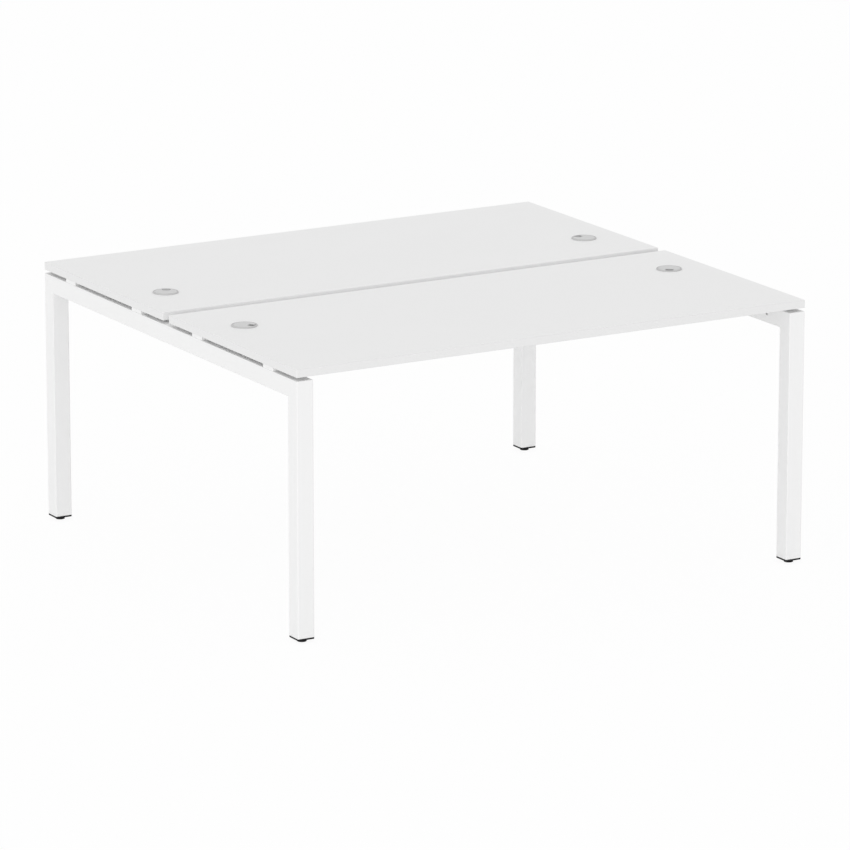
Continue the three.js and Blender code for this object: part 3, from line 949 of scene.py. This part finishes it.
class DESK_OT_beams(Operator):
    """Make the stretcher beams, their end plates and the welds between them"""

    bl_idname = "desk.beams"
    bl_label = "Beams"

    def execute(self, context):
        frames = context.scene.desk.frames
        for row in ROWS:
            self.add_beam(row, frames)
            welds = bmesh.new()
            for side, outward in SIDES.items():
                self.add_plate(f"{row}_{side}", frames)
                self.weld(welds, row, -outward, frames)
            add_piece(f"beam_welds_{row}", welds, "white_powder_coat", "frame")
        return {"FINISHED"}

    def add_beam(self, row, frames):
        node = f"beam_{row}"
        low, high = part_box(node)
        width, height = high.y - low.y, high.z - low.z
        hollow = 2 * frames.beam_wall
        skin = rounded(rectangle(width, height), frames.beam_corner)
        bore = rounded(rectangle(width - hollow, height - hollow), frames.beam_bore_corner)
        loops = raised(skin, low.x, high.x) + raised(bore, high.x, low.x)
        shape = lofted(loops, along(node), closed=True)
        add_piece(f"beam_tube_{row}", shape, "white_powder_coat", "frame", node)

    def add_plate(self, corner, frames):
        node = f"beam_plate_{corner}"
        low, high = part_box(node)
        outline = rounded(rectangle(high.y - low.y, high.z - low.z), frames.plate_corner)
        shape = lofted(slab(outline, low.x, high.x, frames.plate_round), along(node))
        bolts = [along(f"beam_bolt_{corner}_{place}") for place in PLACES]
        holes = drills(frames.bolt_hole, low.x - CUT_MARGIN, high.x + CUT_MARGIN, bolts)
        add_piece(f"end_plate_{corner}", shape, "white_powder_coat", "frame", node, cut=holes)

    def weld(self, shape, row, inward, frames):
        """Beads along the four sides of a beam's end."""
        low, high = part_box(f"beam_{row}")
        x = low.x if inward > 0 else high.x
        corner = frames.beam_corner
        for sign, y, z in ((-1, low.y, low.z), (1, high.y, high.z)):
            sides = (
                ((x, y, low.z + corner), (x, y, high.z - corner), (0, sign, 0)),
                ((x, low.y + corner, z), (x, high.y - corner, z), (0, 0, sign)),
            )
            for start, end, toe in sides:
                toes = (toe, (inward, 0, 0))
                weld_bead(shape, start, end, toes, frames.beam_weld_leg, frames.weld_ripple)


class DESK_OT_fixings(Operator):
    """Make the beam bolts and the top screws"""

    bl_idname = "desk.fixings"
    bl_label = "Fixings"

    def execute(self, context):
        desk = context.scene.desk
        for row in ROWS:
            for side, outward in SIDES.items():
                for place in PLACES:
                    spot = f"{row}_{side}_{place}"
                    self.add_bolt(spot, f"beam_plate_{row}_{side}", -outward, desk.bolts)
                    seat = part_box(f"crossbar_{side}")[1].z - desk.frames.tube_wall
                    self.add_screw(spot, seat, desk.screws)
        return {"FINISHED"}

    def add_screw(self, spot, seat, screws):
        """A pan-head screw, point up, with a cross recess in its head."""
        node = f"top_screw_{spot}"
        low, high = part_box(node)
        rim = (high.x - low.x) / 2
        shank = screws.shank / 2
        section = [(0, low.z), (rim, low.z), (rim, seat), (0, seat)]
        head = rounded(section, [0, screws.head_round, 0, 0])[1:-1]
        root = (shank, screws.thread_pitch)
        point = (screws.tip / 2, screws.point)
        thread = threaded(shank, screws.thread_depth, screws.thread_pitch, seat, high.z, root, point)
        shape = lofted(turned([*head, *thread], THREAD_ROUND_STEPS), upright(node))
        reach = screws.recess_length / 2
        half = screws.recess_width / 2
        arm = [Vector((reach, -half)), Vector((reach, half)), Vector((half, half))]
        turns = [Matrix.Rotation(math.pi / 2 * quarter, 2) for quarter in range(4)]
        cross = [turn @ corner for turn in turns for corner in arm]
        recess = lofted(raised(cross, low.z - CUT_MARGIN, low.z + screws.recess_depth), upright(node))
        add_piece(f"pan_screw_{spot}", shape, "zinc_steel", "frame", node, cut=recess)

    def add_bolt(self, spot, plate, inward, bolts):
        node = f"beam_bolt_{spot}"
        low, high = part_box(node)
        plate_low, plate_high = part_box(plate)
        seat = plate_high.x if inward > 0 else plate_low.x
        head = high.x - seat if inward > 0 else seat - low.x
        tail = high.x - low.x - head
        centre = middle(node)
        place = Matrix.Translation((seat, centre.y, centre.z)) @ lying(inward)
        shape = lofted(turned(self.profile(head, tail, bolts), SMALL_ROUND_STEPS), place)
        add_piece(f"hex_bolt_{spot}", shape, "zinc_steel", "frame", node)

    def profile(self, head, tail, bolts):
        """From the tip of the shank, over the flange, to the bevelled top of the hexagon."""
        shank = bolts.shank / 2
        flange = bolts.flange / 2
        rim = bolts.flange_rim
        sides = hexagon(bolts.flats)
        face = bolts.face / 2
        tip = (shank - bolts.tip / 2, bolts.tip)
        root = (shank, bolts.thread_pitch)
        return [
            *threaded(shank, bolts.thread_depth, bolts.thread_pitch, -tail, 0, tip, root),
            (flange - rim / 2, 0),
            (flange, rim / 2),
            (flange - rim / 4, rim),
            (sides, bolts.flange_height),
            (sides, lambda angle: head - (sides(angle) - face) * BOLT_BEVEL),
            (face, head),
        ]


class DESK_OT_feet(Operator):
    """Make the leg plugs, the threaded studs and the pads"""

    bl_idname = "desk.feet"
    bl_label = "Levelling feet"

    def execute(self, context):
        desk = context.scene.desk
        for corner in CORNERS:
            self.add_plug(corner, desk)
            self.add_stud(corner, desk.feet)
            self.add_pad(corner, desk.feet)
        return {"FINISHED"}

    def add_plug(self, corner, desk):
        """A bored plug: flange outside, insert inside the tube."""
        node = f"leg_plug_{corner}"
        feet = desk.feet
        low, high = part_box(node)
        width = high.x - low.x
        insert = width - 2 * (desk.frames.tube_wall + feet.plug_play)
        flange = rounded(rectangle(width, width), desk.frames.tube_corner)
        stem = rounded(rectangle(insert, insert), desk.frames.bore_corner)
        shoulder = low.z + feet.plug_flange
        loops = slab(flange, low.z, shoulder, feet.plug_round)
        loops += raised(stem, shoulder, high.z)
        shape = lofted(loops, upright(node))
        bore = feet.stud_bore / 2
        bevel = 2 * feet.plug_round
        profile = [
            (bore + bevel, low.z - CUT_MARGIN),
            (bore + bevel, low.z),
            (bore, low.z + bevel),
            (bore, high.z + CUT_MARGIN),
        ]
        cutter = lofted(turned(profile, SMALL_ROUND_STEPS), upright(node))
        add_piece(f"foot_plug_{corner}", shape, "black_plastic", "frame", node, cut=cutter)

    def add_stud(self, corner, feet):
        """A stud whose thread runs from end to end."""
        node = f"levelling_stud_{corner}"
        low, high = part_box(node)
        radius = (high.x - low.x) / 2
        end = (radius - feet.stud_bevel, feet.stud_bevel)
        thread = threaded(radius, feet.thread_depth, feet.thread_pitch, low.z, high.z, end, end)
        shape = lofted(turned(thread, THREAD_ROUND_STEPS), upright(node))
        add_piece(f"foot_stud_{corner}", shape, "zinc_steel", f"stud_{corner}", node)

    def add_pad(self, corner, feet):
        """A fluted pad with a hexagon neck and a socket for the stud."""
        node = f"foot_pad_{corner}"
        low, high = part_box(node)
        rim = (high.x - low.x) / 2
        neck = feet.neck_flats / 2
        socket = feet.stud_bore / 2
        ledge = low.z + feet.pad_rim
        edge = feet.pad_round
        sides = hexagon(feet.neck_flats)

        def reach(radius):
            """The radius as a function of the angle: six-sided at the neck, fluted at the rim."""
            if abs(radius - neck) < edge:
                return lambda angle: radius - neck + sides(angle)
            depth = feet.grip_depth * max(0, 1 - (rim - radius) / edge)
            return lambda angle: radius - depth * math.sin(feet.grip_count * angle / 2) ** FLUTE_POWER

        section = [
            (0, low.z), (rim, low.z), (rim, ledge), (neck, ledge), (neck, high.z), (socket, high.z),
            (socket, low.z + feet.pad_floor),
        ]
        radii = [0, edge, edge, edge / 2, edge / 2, edge / 2, 0]
        outline = rounded(section, radii, EDGE_STEPS)[1:]
        loops = turned([(reach(radius), level) for radius, level in outline], LARGE_ROUND_STEPS)
        shape = lofted(loops, upright(node))
        add_piece(f"foot_disc_{corner}", shape, "black_plastic", f"pad_{corner}", node)


class DESK_OT_grommets(Operator):
    """Make the cable grommets: a flanged liner and a notched cap in each hole"""

    bl_idname = "desk.grommets"
    bl_label = "Grommets"

    def execute(self, context):
        grommets = context.scene.desk.grommets
        for corner in CORNERS:
            row = corner.split("_")[0]
            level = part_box(f"board_{row}")[1].z
            self.add_liner(corner, level, grommets)
            self.add_cap(corner, level, grommets)
        return {"FINISHED"}

    def bore(self, grommets):
        return grommets.hole / 2 - grommets.sleeve_play - grommets.sleeve_wall

    def add_liner(self, corner, level, grommets):
        """Sleeve in the hole, flange on the top, and a recess for the cap."""
        node = f"grommet_liner_{corner}"
        low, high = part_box(node)
        rim = (high.x - low.x) / 2
        bore = self.bore(grommets)
        sleeve = bore + grommets.sleeve_wall
        recess = bore + grommets.cap_ledge + grommets.run_play
        soft = grommets.edge_round
        section = [
            (bore, low.z), (sleeve, low.z), (sleeve, level), (rim, level), (rim, high.z),
            (recess, high.z), (recess, level + grommets.seat), (bore, level + grommets.seat),
        ]
        radii = [soft, soft, 0, soft / 2, grommets.flange_round, soft, 0, soft]
        loops = turned(rounded(section, radii), LARGE_ROUND_STEPS)
        shape = lofted(loops, upright(node), closed=True)
        add_piece(f"cable_liner_{corner}", shape, "mid_grey_plastic", "frame", node)

    def add_cap(self, corner, level, grommets):
        """A notched disc on a skirt, turned to where the notch was left."""
        node = f"grommet_cap_{corner}"
        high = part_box(node)[1].z
        turn = Matrix.Rotation(math.radians(NOTCH_TURNS[corner]), 4, "Z")
        place = upright(f"grommet_liner_{corner}") @ turn
        seat = level + grommets.seat
        underside = seat + grommets.run_play
        disc = lofted(slab(self.disc(grommets), underside, high, grommets.edge_round), place)
        bottom = seat - grommets.skirt_depth
        rooted = (underside + high) / 2
        skirt = lofted(slab(self.skirt(grommets), bottom, rooted, grommets.edge_round), place)
        add_piece(f"cable_cap_{corner}", disc, "grey_plastic", f"cap_{corner}", node, join=skirt)

    def mouth(self, grommets):
        """Half the angle that the notch takes out of the rim."""
        return math.asin(grommets.notch_rim_width / 2 / (self.bore(grommets) + grommets.cap_ledge))

    def disc(self, grommets):
        """Outline of the cap, with its notch towards +X."""
        radius = self.bore(grommets) + grommets.cap_ledge
        mouth = self.mouth(grommets)
        rim = arc(radius, mouth, 2 * math.pi - mouth, LARGE_ROUND_STEPS)
        lip = grommets.notch_rim_corner
        span = (rim[1] - rim[0]).length
        near = math.ceil(lip / span)
        between = rim[near + 1:-near - 1]
        half = grommets.notch_inner_width / 2
        start = grommets.notch_start
        corners = [rim[0], *between, rim[-1], (start, -half), (start, half)]
        radii = [lip, *[0] * len(between), lip, grommets.notch_corner, grommets.notch_corner]
        return rounded(corners, radii)

    def skirt(self, grommets):
        """Outline of the skirt: a ring that is open over the notch."""
        outer = self.bore(grommets) - grommets.run_play
        inner = outer - grommets.skirt_wall
        mouth = grommets.skirt_opening * self.mouth(grommets)
        around = arc(outer, mouth, 2 * math.pi - mouth, LARGE_ROUND_STEPS)
        back = arc(inner, 2 * math.pi - mouth, mouth, LARGE_ROUND_STEPS)
        return around + back


BUILDERS = (
    DESK_OT_studio,
    DESK_OT_tops,
    DESK_OT_end_frames,
    DESK_OT_spacers,
    DESK_OT_beams,
    DESK_OT_fixings,
    DESK_OT_feet,
    DESK_OT_grommets,
)


class VIEW3D_PT_desk(Panel):
    """The desk's builders and settings"""

    bl_label = "Benching desk"
    bl_space_type = "VIEW_3D"
    bl_region_type = "UI"
    bl_category = "Desk"

    def draw(self, context):
        for builder in BUILDERS:
            self.layout.operator(builder.bl_idname)
        for group in DeskSettings.__annotations__:
            settings = getattr(context.scene.desk, group)
            box = self.layout.box()
            box.label(text=group.capitalize())
            for name in settings.__annotations__:
                box.prop(settings, name)


CLASSES = (
    TopSizes, FrameSizes, BoltSizes, ScrewSizes, FootSizes, GrommetSizes, FinishColours, StudioSettings,
    DeskSettings, *BUILDERS, VIEW3D_PT_desk,
)


def register():
    for entry in CLASSES:
        bpy.utils.register_class(entry)
    bpy.types.Scene.desk = PointerProperty(type=DeskSettings)


def unregister():
    del bpy.types.Scene.desk
    for entry in reversed(CLASSES):
        bpy.utils.unregister_class(entry)


def main():
    register()
    bpy.ops.desk.studio()
    bpy.ops.desk.tops()
    bpy.ops.desk.end_frames()
    bpy.ops.desk.spacers()
    bpy.ops.desk.beams()
    bpy.ops.desk.fixings()
    bpy.ops.desk.feet()
    bpy.ops.desk.grommets()


if __name__ == "__main__":
    main()
